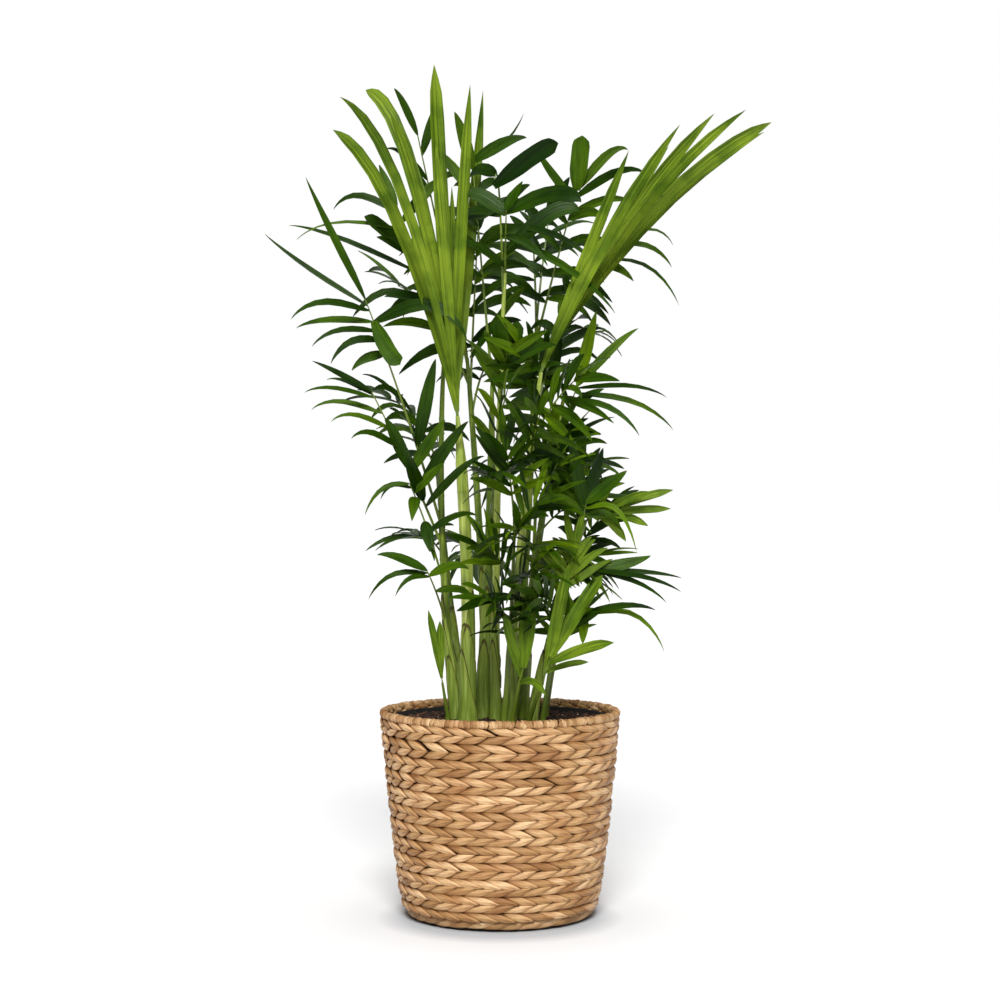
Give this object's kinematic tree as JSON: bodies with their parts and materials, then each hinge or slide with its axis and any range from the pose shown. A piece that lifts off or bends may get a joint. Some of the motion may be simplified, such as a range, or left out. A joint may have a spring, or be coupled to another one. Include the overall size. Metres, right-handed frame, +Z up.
{
  "type": "potted parlor palm",
  "caption": "Potted palm: slender ringed stems with feathery fronds rise from soil in a round braided basket planter.",
  "frame": {"origin": "middle of the basket's flat underside", "axes": "+Z up along the height, -Y towards the front as pictured, +X to the right of that view"},
  "size_m": [0.5046, 0.3879, 0.846],
  "materials": {
    "basket": "matte",
    "liner": "matte",
    "soil": "matte",
    "stem": "satin",
    "leaf": "satin",
    "young_leaf": "satin"
  },
  "bodies": {
    "root": {"basket": "basket", "fan_left": "young_leaf", "fan_right": "young_leaf", "frond_1": "leaf", "frond_10": "leaf", "frond_11": "leaf", "frond_12": "leaf", "frond_13": "leaf", "frond_14": "leaf", "frond_15": "leaf", "frond_16": "leaf", "frond_17": "leaf", "frond_18": "leaf", "frond_19": "leaf", "frond_2": "leaf", "frond_20": "leaf", "frond_21": "leaf", "frond_22": "leaf", "frond_23": "young_leaf", "frond_24": "leaf", "frond_25": "leaf", "frond_26": "leaf", "frond_27": "leaf", "frond_28": "leaf", "frond_29": "leaf", "frond_3": "leaf", "frond_30": "leaf", "frond_31": "leaf", "frond_32": "leaf", "frond_33": "leaf", "frond_34": "leaf", "frond_35": "leaf", "frond_36": "leaf", "frond_37": "leaf", "frond_38": "leaf", "frond_4": "leaf", "frond_5": "leaf", "frond_6": "leaf", "frond_7": "leaf", "frond_8": "leaf", "frond_9": "leaf", "liner": "liner", "shoot_1": "leaf", "shoot_2": "leaf", "shoot_3": "leaf", "shoot_4": "leaf", "shoot_5": "leaf", "shoot_6": "leaf", "shoot_7": "leaf", "soil": "soil", "stem_1": "stem", "stem_10": "stem", "stem_2": "stem", "stem_3": "stem", "stem_4": "stem", "stem_5": "stem", "stem_6": "stem", "stem_7": "stem", "stem_8": "stem", "stem_9": "stem"}
  },
  "joints": []
}
